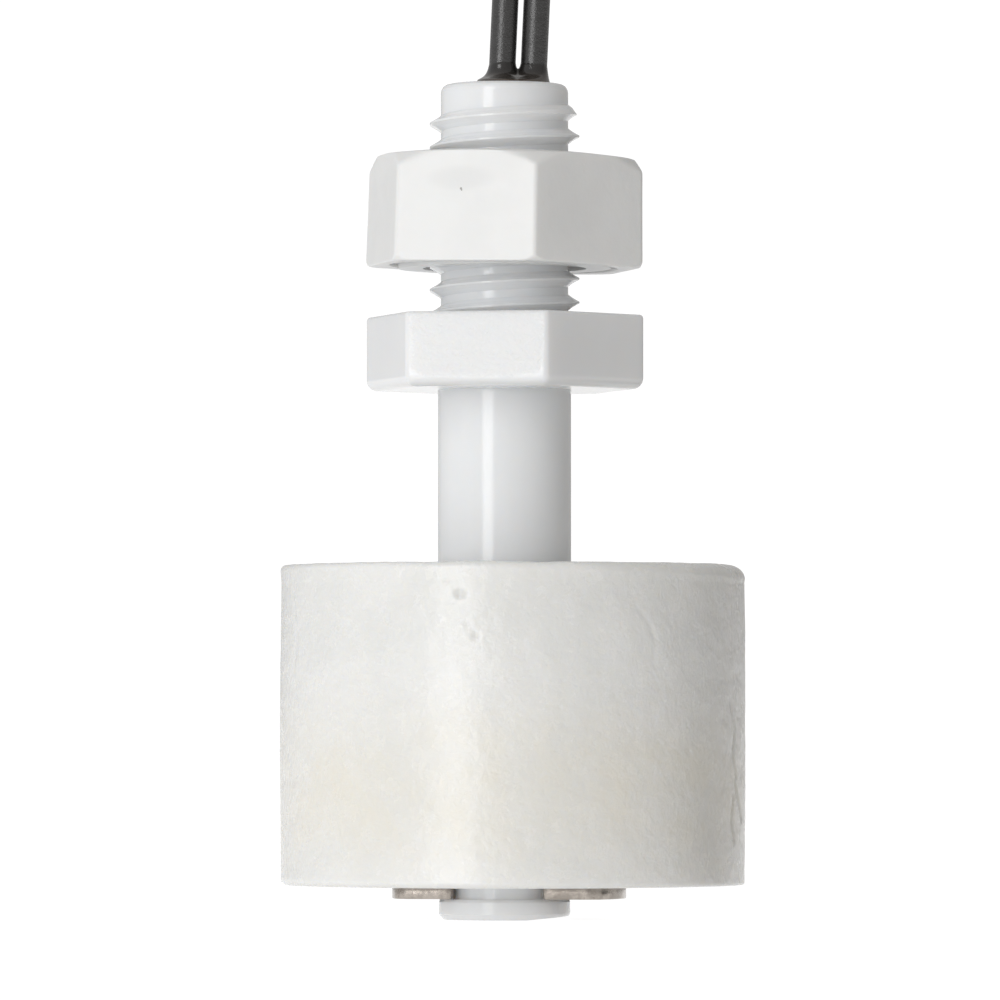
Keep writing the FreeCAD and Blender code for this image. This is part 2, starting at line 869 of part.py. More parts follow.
# --- checks and export -------------------------------------------------------------------------------
NODES = [
    "stem_body",
    "mounting_nut",
    "nut_washer_face",
    "float_body",
    "ring_magnet",
    "magnet_potting",
    "float_end_cap",
    "retaining_clip",
    "potting_plug",
    "reed_capsule",
    "reed_blade_fixed",
    "reed_pin_lower",
    "reed_blade_moving",
    "return_lead",
    "return_lead_sleeve",
    "solder_joint_a",
    "solder_joint_b",
    "solder_joint_lower",
    "lead_core_a",
    "lead_core_b",
    "lead_a",
    "lead_b",
    "lead_tip_a",
    "lead_tip_b",
    "lead_coil",
    "coil_tie",
]
bad = [o.Name for o in doc.Objects if "Invalid" in o.State or "Error" in o.State]
if bad:
    raise RuntimeError("failed objects: " + ", ".join(bad))
by_label = {o.Label: o for o in doc.Objects}
for n in NODES:
    s = by_label[n].Shape
    if s.isNull() or not s.isValid() or not s.Solids:
        raise RuntimeError(n + " has no valid solid")
os.makedirs("parts", exist_ok=True)
for n in NODES:
    s = by_label[n].Shape
    s.exportStep("parts/%s.step" % n)
    b = s.BoundBox
    print(
        "%-20s %d solid  %9.3f mm3  x %.2f..%.2f  y %.2f..%.2f  z %.2f..%.2f"
        % (n, len(s.Solids), s.Volume, b.XMin, b.XMax, b.YMin, b.YMax, b.ZMin, b.ZMax)
    )
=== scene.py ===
import json
import math

import bmesh
import bpy
import numpy as np
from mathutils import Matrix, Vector, noise

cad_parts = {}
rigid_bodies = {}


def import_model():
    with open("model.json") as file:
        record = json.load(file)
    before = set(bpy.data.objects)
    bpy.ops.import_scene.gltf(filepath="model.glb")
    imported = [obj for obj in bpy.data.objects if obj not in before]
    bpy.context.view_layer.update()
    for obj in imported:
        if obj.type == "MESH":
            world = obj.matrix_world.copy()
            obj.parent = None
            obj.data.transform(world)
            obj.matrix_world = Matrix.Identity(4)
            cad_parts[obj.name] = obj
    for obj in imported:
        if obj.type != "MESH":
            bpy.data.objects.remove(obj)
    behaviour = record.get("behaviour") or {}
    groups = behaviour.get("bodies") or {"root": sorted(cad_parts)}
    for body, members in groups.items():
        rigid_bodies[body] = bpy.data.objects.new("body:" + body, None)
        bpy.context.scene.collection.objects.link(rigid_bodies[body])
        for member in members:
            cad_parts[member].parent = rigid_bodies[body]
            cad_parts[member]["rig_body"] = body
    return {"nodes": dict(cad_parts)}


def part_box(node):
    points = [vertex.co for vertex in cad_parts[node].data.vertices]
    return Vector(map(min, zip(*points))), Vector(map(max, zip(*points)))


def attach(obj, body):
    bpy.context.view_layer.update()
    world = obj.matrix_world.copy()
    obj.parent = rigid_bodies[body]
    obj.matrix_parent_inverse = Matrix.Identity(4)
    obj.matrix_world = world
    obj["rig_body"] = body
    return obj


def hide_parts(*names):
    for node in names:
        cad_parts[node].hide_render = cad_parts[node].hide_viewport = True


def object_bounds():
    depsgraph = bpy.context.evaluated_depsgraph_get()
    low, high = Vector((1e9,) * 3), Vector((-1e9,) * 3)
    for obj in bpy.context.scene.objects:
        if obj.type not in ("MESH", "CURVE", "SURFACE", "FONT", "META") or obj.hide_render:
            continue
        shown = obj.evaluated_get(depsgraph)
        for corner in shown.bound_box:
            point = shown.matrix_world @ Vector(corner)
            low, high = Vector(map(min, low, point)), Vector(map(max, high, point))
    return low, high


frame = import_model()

MM = 0.001
scene = bpy.context.scene
nodes = frame["nodes"]


def plain(box):
    return [[round(float(c), 7) for c in corner] for corner in box]


cad_box = plain(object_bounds())

# --- camera ---------------------------------------------------------------------------------------
cam_data = bpy.data.cameras.new("Camera")
cam_data.sensor_width = 36.0
cam_data.lens = 313.0
cam_data.clip_start = 0.01
cam_data.clip_end = 20.0
cam = bpy.data.objects.new("Camera", cam_data)
cam.location = (-0.24 * MM, -457 * MM, -21.8 * MM)
cam.rotation_euler = (math.radians(91.52), 0, 0)
scene.collection.objects.link(cam)
scene.camera = cam


# --- helpers --------------------------------------------------------------------------------------
def link(obj):
    scene.collection.objects.link(obj)
    return obj


def mesh_object(name, verts, faces, smooth=True):
    me = bpy.data.meshes.new(name)
    me.from_pydata([tuple(v) for v in verts], [], [tuple(f) for f in faces])
    me.validate()
    if smooth:
        me.polygons.foreach_set("use_smooth", [True] * len(me.polygons))
    me.update()
    return link(bpy.data.objects.new(name, me))


def ring_mesh(name, rings, closed_profile=True, cap_ends=False):
    """Rings of points with the same count, joined one to the next. Each ring is a closed loop."""
    n = len(rings[0])
    verts = np.concatenate([np.asarray(r, float) for r in rings]) * MM
    faces = []
    m = len(rings)
    for k in range(m if closed_profile else m - 1):
        a, b = k * n, ((k + 1) % m) * n
        for i in range(n):
            j = (i + 1) % n
            faces.append((a + i, a + j, b + j, b + i))
    if cap_ends and not closed_profile:
        faces.append(tuple(range(n - 1, -1, -1)))
        faces.append(tuple((m - 1) * n + i for i in range(n)))
    obj = mesh_object(name, verts, faces)
    bm = bmesh.new()
    bm.from_mesh(obj.data)
    bmesh.ops.recalc_face_normals(bm, faces=bm.faces)
    bm.to_mesh(obj.data)
    bm.free()
    return obj


def smin(a, b, k):
    """Smooth minimum with a rounding of about k."""
    h = np.clip(0.5 + 0.5 * (b - a) / k, 0, 1)
    return b * (1 - h) + a * h - k * h * (1 - h)


# --- leads ----------------------------------------------------------------------------------------
# control points of the two free leads, in millimetres, up over the arch and down to the coil
ROUTE_A = [
    (-0.213, 0, 11.075), (0.165, 0, 19.4), (0.543, 0, 27.717), (16.183, -0.6, 35.824),
    (30.999, -2.4, 26.349), (30.6, -3.9, 3.497), (31.91, -4.5, -15.239), (34.231, -4.5, -24.546),
    (36.866, -4.5, -27.919), (40.271, -4.5, -29.58),
]
ROUTE_B = [
    (1.446, 0, 11.0), (1.827, 0, 19.4), (2.158, 0, 26.684), (16.096, -0.6, 33.909),
    (29.323, -2.4, 25.45), (28.939, -3.9, 3.454), (30.264, -4.5, -15.5), (32.563, -4.5, -24.718),
    (35.949, -4.5, -29.052), (39.943, -4.5, -31.0),
]
COIL_X, COIL_Y = 43.8, 6.0
PER_TURN = 14


def coil_points(z, turns, last_r, bend):
    """Control points of the coil's turns in one layer, ending curved in to the hole."""
    pts = []
    count = int(round(turns * PER_TURN))
    for i in range(count + 1):
        t = turns * i / count
        r = 10.68 - 1.42 * t
        into = min(max((t - (turns - bend)) / bend, 0.0), 1.0)
        r_in = 10.68 - 1.42 * (turns - bend)
        if into > 0:
            r = r_in + (last_r - r_in) * (into * into * (3 - 2 * into) * 0.45 + into * into * 0.55)
        a = math.radians(270) + 2 * math.pi * t
        side = (math.degrees(a) + 180) % 360 - 180
        lift = 0.27 * math.exp(-((side / 20.0) ** 2))
        wander = 0.05 * math.sin(5.3 * t + z)
        pts.append(
            (COIL_X + (r + wander) * math.cos(a), COIL_Y + (r + wander) * math.sin(a), z + lift)
        )
    return pts


def lead_curve(name, points, radius):
    cu = bpy.data.curves.new(name, "CURVE")
    cu.dimensions = "3D"
    sp = cu.splines.new("NURBS")
    sp.points.add(len(points) - 1)
    for p, c in zip(sp.points, points):
        p.co = (c[0] * MM, c[1] * MM, c[2] * MM, 1)
        p.radius = radius * MM
    sp.order_u = 3
    sp.use_endpoint_u = True
    sp.resolution_u = 12
    cu.bevel_depth = 1.0
    cu.bevel_resolution = 8
    cu.use_fill_caps = True
    cu.resolution_u = 12
    return link(bpy.data.objects.new(name, cu))


pts_a = ROUTE_A + coil_points(-29.58, 3.56, 4.3, 0.42)
pts_b = ROUTE_B + coil_points(-31.0, 3.60, 4.16, 0.46)
lead_a = lead_curve("lead_wire_a", pts_a, 0.7)
lead_b = lead_curve("lead_wire_b", pts_b, 0.7)


def stripped_tip(name, start, heading, node):
    """A tinned end of seven twisted strands, rounded where it was cut."""
    d = Vector(heading).normalized()
    side = d.cross(Vector((0, 0, 1))).normalized()
    up = side.cross(d)
    rings = []
    length = 6.0
    stations = [-0.5 + 0.1 * k for k in range(int((length + 0.5) / 0.1) - 1)]
    stations += [length - 0.1, length - 0.05, length - 0.02, length]
    shrink = {length - 0.1: 0.97, length - 0.05: 0.9, length - 0.02: 0.72, length: 0.35}
    n = 42
    for s in stations:
        ring = []
        k = shrink.get(s, 1.0)
        for i in range(n):
            a = 2 * math.pi * i / n
            lobe = 0.268 + 0.03 * abs(math.cos(3.0 * (a - 1.15 * s)))
            lobe *= k
            c = Vector(start) + d * s + side * (lobe * math.cos(a)) + up * (lobe * math.sin(a))
            ring.append(tuple(c))
        rings.append(ring)
    obj = ring_mesh(name, rings, closed_profile=False, cap_ends=True)
    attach(obj, "stem")
    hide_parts(node)
    return obj


def end_of(points):
    a, b = Vector(points[-2]), Vector(points[-1])
    return tuple(b), tuple((b - a).normalized())


start_a, dir_a = end_of(pts_a)
start_b, dir_b = end_of(pts_b)
tip_a = stripped_tip("tip_a", start_a, dir_a, "lead_tip_a")
tip_b = stripped_tip("tip_b", start_b, dir_b, "lead_tip_b")


def tie_strap():
    """A narrow strap round the coil's section."""
    lo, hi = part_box("coil_tie")
    x0, x1 = lo.x / MM + 0.23, hi.x / MM - 0.52
    z0, z1 = lo.z / MM + 0.01, hi.z / MM - 0.13
    yc, half = (lo.y + hi.y) / 2 / MM, (hi.y - lo.y) / 2 / MM - 0.02
    path = []
    corner = 1.0
    for cx, cz, a0 in (
        (x1 - corner, z1 - corner, 0),
        (x0 + corner, z1 - corner, 90),
        (x0 + corner, z0 + corner, 180),
        (x1 - corner, z0 + corner, 270),
    ):
        for k in range(13):
            a = math.radians(a0 + 90 * k / 12)
            path.append((cx, cz, math.cos(a), math.sin(a)))
    dense = []
    for (ax, az, anx, anz), (bx, bz, bnx, bnz) in zip(path, path[1:] + path[:1]):
        steps = max(1, int(math.hypot(bx - ax, bz - az) / 0.12))
        for k in range(steps):
            f = k / steps
            nx, nz = anx + (bnx - anx) * f, anz + (bnz - anz) * f
            l = math.hypot(nx, nz)
            dense.append((ax + (bx - ax) * f, az + (bz - az) * f, nx / l, nz / l))
    rings = []
    for i, (cx, cz, nx, nz) in enumerate(dense):
        outer = corner
        rib = 0.035 * (0.5 + 0.5 * math.cos(i * 2 * math.pi / 4.0))
        thick = 0.26
        ring = []
        for y, d in (
            (-half, 0.10), (-half + 0.08, 0.02), (-half + 0.3, rib), (half - 0.3, rib),
            (half - 0.08, 0.02), (half, 0.10), (half, thick - 0.06), (half - 0.08, thick),
            (-half + 0.08, thick), (-half, thick - 0.06),
        ):
            ring.append((cx + nx * (outer - d), yc + y, cz + nz * (outer - d)))
        rings.append(ring)
    obj = ring_mesh("tie_strap", rings)
    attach(obj, "stem")
    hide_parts("coil_tie")
    return obj


tie = tie_strap()

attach(lead_a, "stem")
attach(lead_b, "stem")
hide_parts("lead_a", "lead_coil")
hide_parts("lead_b")

# --- floor and light ------------------------------------------------------------------------------
FLOOR_Z = cad_box[0][2]


def floor_plane():
    me = bpy.data.meshes.new("floor")
    s = 3.0
    me.from_pydata(
        [(-s, -s, FLOOR_Z), (s, -s, FLOOR_Z), (s, s, FLOOR_Z), (-s, s, FLOOR_Z)],
        [],
        [(0, 1, 2, 3)],
    )
    obj = link(bpy.data.objects.new("floor", me))
    m = bpy.data.materials.new("floor_white")
    m.use_nodes = True
    nt = m.node_tree
    nt.nodes.clear()
    out = nt.nodes.new("ShaderNodeOutputMaterial")
    add = nt.nodes.new("ShaderNodeAddShader")
    dif = nt.nodes.new("ShaderNodeBsdfDiffuse")
    dif.inputs["Color"].default_value = (0.22, 0.22, 0.22, 1)
    em = nt.nodes.new("ShaderNodeEmission")
    em.inputs["Color"].default_value = (1, 1, 1, 1)
    em.inputs["Strength"].default_value = 0.93
    nt.links.new(dif.outputs[0], add.inputs[0])
    nt.links.new(em.outputs[0], add.inputs[1])
    nt.links.new(add.outputs[0], out.inputs["Surface"])
    me.materials.append(m)
    # the studio's light comes from all round, so the sheet underneath doesn't stop it
    obj.visible_diffuse = False
    obj.visible_shadow = False
    return obj


floor_plane()

world = bpy.data.worlds.new("studio")
scene.world = world
world.use_nodes = True
wt = world.node_tree
wt.nodes.clear()
wout = wt.nodes.new("ShaderNodeOutputWorld")
wmix = wt.nodes.new("ShaderNodeMixShader")
wray = wt.nodes.new("ShaderNodeLightPath")
wdim = wt.nodes.new("ShaderNodeBackground")
# the room is brighter on the left than on the right, where it is also a little warmer
wdir = wt.nodes.new("ShaderNodeTexCoord")
wsep = wt.nodes.new("ShaderNodeSeparateXYZ")
wt.links.new(wdir.outputs["Generated"], wsep.inputs[0])
wfall = wt.nodes.new("ShaderNodeMapRange")
wfall.inputs["From Min"].default_value = -1.0
wfall.inputs["From Max"].default_value = 1.0
wfall.inputs["To Min"].default_value = 0.645
wfall.inputs["To Max"].default_value = 0.36
wt.links.new(wsep.outputs[0], wfall.inputs["Value"])
# the white sheet underneath throws some light back up
wlow = wt.nodes.new("ShaderNodeMapRange")
wlow.inputs["From Min"].default_value = -1.0
wlow.inputs["From Max"].default_value = 0.0
wlow.inputs["To Min"].default_value = 0.16
wlow.inputs["To Max"].default_value = 0.0
wt.links.new(wsep.outputs[2], wlow.inputs["Value"])
wsum = wt.nodes.new("ShaderNodeMath")
wsum.operation = "ADD"
wt.links.new(wfall.outputs[0], wsum.inputs[0])
wt.links.new(wlow.outputs[0], wsum.inputs[1])
wt.links.new(wsum.outputs[0], wdim.inputs["Strength"])
wtone = wt.nodes.new("ShaderNodeValToRGB")
wtone.color_ramp.elements[0].color = (1.0, 1.0, 1.0, 1)
wtone.color_ramp.elements[1].color = (1.0, 0.975, 0.945, 1)
whalf = wt.nodes.new("ShaderNodeMapRange")
whalf.inputs["From Min"].default_value = -1.0
whalf.inputs["From Max"].default_value = 1.0
wt.links.new(wsep.outputs[0], whalf.inputs["Value"])
wt.links.new(whalf.outputs[0], wtone.inputs[0])
wt.links.new(wtone.outputs[0], wdim.inputs["Color"])
wlit = wt.nodes.new("ShaderNodeBackground")
wlit.inputs["Color"].default_value = (1, 1, 1, 1)
wlit.inputs["Strength"].default_value = 1.05
wt.links.new(wray.outputs["Is Camera Ray"], wmix.inputs[0])
wt.links.new(wdim.outputs[0], wmix.inputs[1])
wt.links.new(wlit.outputs[0], wmix.inputs[2])
wt.links.new(wmix.outputs[0], wout.inputs["Surface"])


def area_light(name, azimuth, height, distance, wide, tall, power, colour=(1, 1, 1)):
    """azimuth 0 is at the camera's side, positive to the object's right."""
    data = bpy.data.lights.new(name, "AREA")
    data.shape = "RECTANGLE"
    data.size = wide
    data.size_y = tall
    data.energy = power
    data.color = colour
    obj = bpy.data.objects.new(name, data)
    a = math.radians(azimuth)
    obj.location = (math.sin(a) * distance, -math.cos(a) * distance, height)
    aim = Vector((0, 0, -0.008)) - obj.location
    obj.rotation_euler = aim.to_track_quat("-Z", "Y").to_euler()
    return link(obj)


area_light("key_softbox", -29, 0.06, 0.60, 0.20, 0.75, 1.85)

scene.view_settings.view_transform = "Standard"
scene.view_settings.look = "None"
scene.view_settings.exposure = 0.0
scene.view_settings.gamma = 1.0


# --- materials ------------------------------------------------------------------------------------
class Mat:
    """A node material with short helpers. Positions are object coordinates in millimetres."""

    def __init__(self, name):
        self.m = bpy.data.materials.new(name)
        self.m.use_nodes = True
        self.nt = self.m.node_tree
        self.nt.nodes.clear()
        self.out = self.nt.nodes.new("ShaderNodeOutputMaterial")
        self.p = self.nt.nodes.new("ShaderNodeBsdfPrincipled")
        self.nt.links.new(self.p.outputs[0], self.out.inputs["Surface"])
        tc = self.nt.nodes.new("ShaderNodeTexCoord")
        mp = self.nt.nodes.new("ShaderNodeMapping")
        mp.inputs["Scale"].default_value = (1000, 1000, 1000)
        self.nt.links.new(tc.outputs["Object"], mp.inputs["Vector"])
        self.pos = mp.outputs["Vector"]
        sep = self.nt.nodes.new("ShaderNodeSeparateXYZ")
        self.nt.links.new(self.pos, sep.inputs[0])
        self.x, self.y, self.z = sep.outputs

    def put(self, socket, value):
        if isinstance(value, bpy.types.NodeSocket):
            self.nt.links.new(value, socket)
        else:
            socket.default_value = value

    def set(self, **kw):
        for k, v in kw.items():
            self.put(self.p.inputs[k.replace("_", " ")], v)
        return self

    def math(self, op, a, b=0.0, c=None, clamp=False):
        n = self.nt.nodes.new("ShaderNodeMath")
        n.operation = op
        n.use_clamp = clamp
        self.put(n.inputs[0], a)
        self.put(n.inputs[1], b)
        if c is not None:
            self.put(n.inputs[2], c)
        return n.outputs[0]

    def vec(self, op, a, b):
        n = self.nt.nodes.new("ShaderNodeVectorMath")
        n.operation = op
        self.put(n.inputs[0], a)
        self.put(n.inputs[1], b)
        return n.outputs["Value"] if op in ("DOT_PRODUCT", "DISTANCE", "LENGTH") else n.outputs[0]

    def scaled(self, s):
        n = self.nt.nodes.new("ShaderNodeMapping")
        n.inputs["Scale"].default_value = s
        self.nt.links.new(self.pos, n.inputs["Vector"])
        return n.outputs[0]

    def noise(self, scale, detail=3.0, rough=0.55, distortion=0.0, vector=None):
        n = self.nt.nodes.new("ShaderNodeTexNoise")
        self.put(n.inputs["Vector"], self.pos if vector is None else vector)
        n.inputs["Scale"].default_value = scale
        n.inputs["Detail"].default_value = detail
        n.inputs["Roughness"].default_value = rough
        n.inputs["Distortion"].default_value = distortion
        return n.outputs[0]

    def cells(self, scale, feature="F1", vector=None, randomness=1.0):
        n = self.nt.nodes.new("ShaderNodeTexVoronoi")
        n.feature = feature
        self.put(n.inputs["Vector"], self.pos if vector is None else vector)
        n.inputs["Scale"].default_value = scale
        n.inputs["Randomness"].default_value = randomness
        return n.outputs[0]

    def ramp(self, fac, *stops):
        """stops: (position, value or colour)."""
        n = self.nt.nodes.new("ShaderNodeValToRGB")
        el = n.color_ramp.elements
        while len(el) < len(stops):
            el.new(0.5)
        for e, (at, v) in zip(el, stops):
            e.position = at
            e.color = (v, v, v, 1) if isinstance(v, (int, float)) else (*v, 1)
        self.put(n.inputs[0], fac)
        return n.outputs[0]

    def step(self, value, low, high):
        n = self.nt.nodes.new("ShaderNodeMapRange")
        n.interpolation_type = "SMOOTHSTEP"
        self.put(n.inputs["Value"], value)
        n.inputs["From Min"].default_value = low
        n.inputs["From Max"].default_value = high
        return n.outputs[0]

    def mix(self, fac, a, b, blend="MIX"):
        n = self.nt.nodes.new("ShaderNodeMix")
        n.data_type = "RGBA"
        n.blend_type = blend
        self.put(n.inputs[0], fac)
        for sock, v in ((n.inputs[6], a), (n.inputs[7], b)):
            self.put(sock, v if isinstance(v, bpy.types.NodeSocket) else (*v, 1))
        return n.outputs[2]

    def bump(self, *layers):
        """layers: (height socket, strength, distance in mm)."""
        last = None
        for h, strength, dist in layers:
            n = self.nt.nodes.new("ShaderNodeBump")
            n.inputs["Strength"].default_value = strength
            n.inputs["Distance"].default_value = dist * MM
            self.put(n.inputs["Height"], h)
            if last is not None:
                self.nt.links.new(last, n.inputs["Normal"])
            last = n.outputs[0]
        self.nt.links.new(last, self.p.inputs["Normal"])
        return self


def face_normal(deg):
    return (math.cos(math.radians(deg)), math.sin(math.radians(deg)), 0)


def white_pp():
    m = Mat("white_pp_moulded")
    tone = m.noise(0.22, 3)
    cloud = m.noise(1.7, 4)
    base = m.mix(m.step(tone, 0.35, 0.65), (0.855, 0.865, 0.874), (0.87, 0.879, 0.887))
    base = m.mix(m.math("MULTIPLY", cloud, 0.25), base, (0.835, 0.845, 0.855))
    # the grained panel moulded into one flat of the flange
    out_n = m.vec("DOT_PRODUCT", m.pos, face_normal(257))
    along = m.vec("DOT_PRODUCT", m.pos, face_normal(347))
    on_face = m.step(out_n, 6.30, 6.42)
    ragged = m.math("MULTIPLY", m.math("SUBTRACT", m.noise(3.2, 3, 0.6), 0.5), 0.8)
    beside = m.math("ABSOLUTE", along)
    corner = m.math("POWER", m.math("DIVIDE", beside, 3.75), 8.0)
    up = m.step(m.math("SUBTRACT", m.math("ADD", m.z, ragged), corner), -3.62, -3.22)
    side = m.math("SUBTRACT", 1.0, m.step(m.math("ADD", beside, ragged), 3.35, 3.75))
    panel = m.math("MULTIPLY", m.math("MULTIPLY", on_face, side), up)
    grain = m.math(
        "ADD",
        m.math("SUBTRACT", m.noise(7.0, 3, 0.6), 0.5),
        m.math("MULTIPLY", m.math("SUBTRACT", m.cells(6.0), 0.5), 0.35),
    )
    panel_grain = m.math("MULTIPLY", grain, panel)
    base = m.mix(m.math("MULTIPLY", panel, 0.35), base, (0.90, 0.905, 0.91))
    fine = m.noise(14.0, 2)
    ripple = m.noise(0.9, 2, vector=m.scaled((1, 1, 0.35)))
    m.set(
        Base_Color=base,
        Roughness=m.math("ADD", 0.09, m.math("ADD", m.math("MULTIPLY", cloud, 0.08), m.math("MULTIPLY", panel, 0.22))),
    )
    m.p.inputs["IOR"].default_value = 1.49
    m.p.inputs["Subsurface Weight"].default_value = 0.65
    m.p.inputs["Subsurface Radius"].default_value = (1.0, 0.9, 0.8)
    m.p.inputs["Subsurface Scale"].default_value = 1.6 * MM
    m.bump((ripple, 0.15, 0.04), (fine, 0.10, 0.008), (panel_grain, 0.9, 0.07))
    return m.m


def nut_pp():
    m = Mat("nut_pp_moulded")
    tone = m.noise(0.30, 3)
    cloud = m.noise(2.0, 4)
    base = m.mix(m.step(tone, 0.35, 0.65), (0.82, 0.825, 0.82), (0.845, 0.85, 0.845))
    base = m.mix(m.math("MULTIPLY", cloud, 0.2), base, (0.80, 0.80, 0.79))
    speck = m.vec("DISTANCE", m.pos, (-2.26, -6.13, 6.35))
    speck_b = m.vec("DISTANCE", m.pos, (-2.23, -6.14, 6.27))
    dot = m.math(
        "MAXIMUM",
        m.math("SUBTRACT", 1.0, m.step(speck, 0.045, 0.085)),
        m.math("SUBTRACT", 1.0, m.step(speck_b, 0.03, 0.06)),
    )
    base = m.mix(m.math("MULTIPLY", dot, 0.85), base, (0.16, 0.14, 0.12))
    # painted shade: two soft patches of the front faces are painted darker where the sink marks in them lie in shade
    front = m.step(m.y, -4.5, -5.2)
    for cx, cz, wide, tall, much in ((-2.3, 6.90, 1.6, 0.60, 0.42), (-0.6, 5.6, 1.5, 0.7, 0.12)):
        dx = m.math("POWER", m.math("ABSOLUTE", m.math("DIVIDE", m.math("SUBTRACT", m.x, cx), wide)), 2.0)
        dz = m.math("POWER", m.math("ABSOLUTE", m.math("DIVIDE", m.math("SUBTRACT", m.z, cz), tall)), 2.0)
        painted_sink_shade = m.math("SUBTRACT", 1.0, m.step(m.math("ADD", dx, dz), 0.1, 1.7))
        base = m.mix(m.math("MULTIPLY", m.math("MULTIPLY", painted_sink_shade, front), much), base, (0.72, 0.728, 0.728))
    fine = m.noise(11.0, 2)
    orange_peel = m.noise(1.5, 2)
    m.set(
        Base_Color=base,
        Roughness=m.math("ADD", 0.30, m.math("MULTIPLY", cloud, 0.14)),
    )
    m.p.inputs["IOR"].default_value = 1.49
    m.p.inputs["Subsurface Weight"].default_value = 0.30
    m.p.inputs["Subsurface Radius"].default_value = (1.0, 0.85, 0.72)
    m.p.inputs["Subsurface Scale"].default_value = 0.7 * MM
    m.bump((orange_peel, 0.35, 0.05), (fine, 0.15, 0.01))
    return m.m


def float_pp(magnet_glow=True):
    """Natural foamed polypropylene: a cloudy skin full of fine cells, with the amber of the
    glued magnet showing faintly through the wall of the lower half."""
    m = Mat("float_foamed_pp")
    wide = m.noise(0.16, 3)
    cloud = m.noise(0.8, 4, 0.6)
    wob = m.nt.nodes.new("ShaderNodeTexNoise")
    m.put(wob.inputs["Vector"], m.pos)
    wob.inputs["Scale"].default_value = 1.1
    m.bent = m.vec("ADD", m.pos, m.vec("MULTIPLY", wob.outputs["Color"], (1.1, 1.1, 1.1)))
    cells = m.cells(2.6, "DISTANCE_TO_EDGE", vector=m.bent)
    fine = m.cells(6.0, "F1")
    crystal = m.noise(5.0, 5, 0.7, 0.6)
    base = m.mix(m.step(wide, 0.35, 0.65), (0.805, 0.808, 0.79), (0.85, 0.85, 0.832))
    veins = m.math("MULTIPLY", m.math("SUBTRACT", 1.0, m.step(cells, 0.0, 0.12)), m.step(cloud, 0.40, 0.62))
    base = m.mix(m.math("MULTIPLY", veins, 0.30), base, (0.91, 0.91, 0.90))
    base = m.mix(m.math("MULTIPLY", m.step(crystal, 0.55, 0.75), 0.22), base, (0.92, 0.92, 0.91))
    base = m.mix(m.math("MULTIPLY", m.step(crystal, 0.45, 0.25), 0.18), base, (0.75, 0.75, 0.73))
    if magnet_glow:
        band = m.math(
            "MULTIPLY", m.step(m.z, -30.5, -25.6), m.math("SUBTRACT", 1.0, m.step(m.z, -24.6, -18.6))
        )
        patch = m.step(m.noise(0.24, 3, 0.6, 0.8), 0.36, 0.66)
        broken = m.step(m.noise(1.3, 4, 0.65), 0.30, 0.70)
        amber = m.math("MULTIPLY", band, m.math("ADD", 0.42, m.math("MULTIPLY", patch, 0.45)))
        amber = m.math("MULTIPLY", amber, m.math("ADD", 0.85, m.math("MULTIPLY", broken, 0.25)))
        base = m.mix(m.math("MULTIPLY", amber, 0.72), base, (0.82, 0.785, 0.69))
    m.set(
        Base_Color=base,
        Roughness=m.math("ADD", 0.16, m.math("MULTIPLY", cloud, 0.20)),
    )
    m.p.inputs["IOR"].default_value = 1.50
    m.p.inputs["Coat Weight"].default_value = 0.30
    m.p.inputs["Coat Roughness"].default_value = 0.24
    m.p.inputs["Subsurface Weight"].default_value = 0.65
    m.p.inputs["Subsurface Radius"].default_value = (1.0, 0.92, 0.78)
    m.p.inputs["Subsurface Scale"].default_value = 1.2 * MM
    pebble = m.cells(2.4, "SMOOTH_F1", vector=m.bent)
    m.bump((cloud, 0.5, 0.05), (pebble, 0.5, 0.055), (crystal, 0.65, 0.028), (fine, 0.25, 0.011))
    return m.m


def spring_steel():
    m = Mat("clip_steel")
    speck = m.noise(5.0, 5, 0.7)
    stain = m.noise(1.1, 3)
    base = m.mix(m.step(stain, 0.4, 0.65), (0.29, 0.26, 0.23), (0.42, 0.38, 0.34))
    base = m.mix(m.math("MULTIPLY", m.step(speck, 0.56, 0.68), 0.55), base, (0.20, 0.16, 0.13))
    m.set(Base_Color=base, Roughness=m.math("ADD", 0.08, m.math("MULTIPLY", speck, 0.20)))
    m.p.inputs["Metallic"].default_value = 1.0
    m.bump((speck, 0.4, 0.02), (m.noise(1.8, 2), 0.3, 0.04))
    return m.m


def black_epoxy():
    m = Mat("black_epoxy")
    cloud = m.noise(1.4, 3)
    rim = m.step(m.z, 12.42, 12.16)
    base = m.mix(m.step(cloud, 0.4, 0.6), (0.013, 0.012, 0.011), (0.019, 0.017, 0.016))
    # painted light: the foot of the skirt is painted a lighter greyish brown, as it looks where the light falls on it
    skirt = m.step(m.z, 12.95, 12.35)
    base = m.mix(m.math("MULTIPLY", skirt, 0.6), base, (0.075, 0.062, 0.052))
    base = m.mix(m.math("MULTIPLY", rim, 0.55), base, (0.13, 0.080, 0.048))
    m.set(Base_Color=base, Roughness=m.math("ADD", 0.12, m.math("MULTIPLY", cloud, 0.16)))
    m.p.inputs["IOR"].default_value = 1.55
    m.p.inputs["Coat Weight"].default_value = 0.3
    m.p.inputs["Coat Roughness"].default_value = 0.05
    m.bump((m.noise(1.6, 2), 0.4, 0.06), (m.noise(9.0, 2), 0.12, 0.01))
    return m.m


def lead_pvc():
    m = Mat("lead_pvc")
    cloud = m.noise(2.2, 3)
    scuff = m.noise(7.0, 4, 0.65)
    base = m.mix(m.step(cloud, 0.4, 0.6), (0.012, 0.0115, 0.011), (0.018, 0.017, 0.0165))
    base = m.mix(m.math("MULTIPLY", m.step(scuff, 0.60, 0.75), 0.35), base, (0.085, 0.082, 0.08))
    m.set(Base_Color=base, Roughness=m.math("ADD", 0.20, m.math("MULTIPLY", scuff, 0.14)))
    m.p.inputs["IOR"].default_value = 1.72
    m.bump((m.noise(1.2, 2), 0.3, 0.05), (scuff, 0.55, 0.03), (m.noise(12.0, 2), 0.7, 0.018))
    return m.m


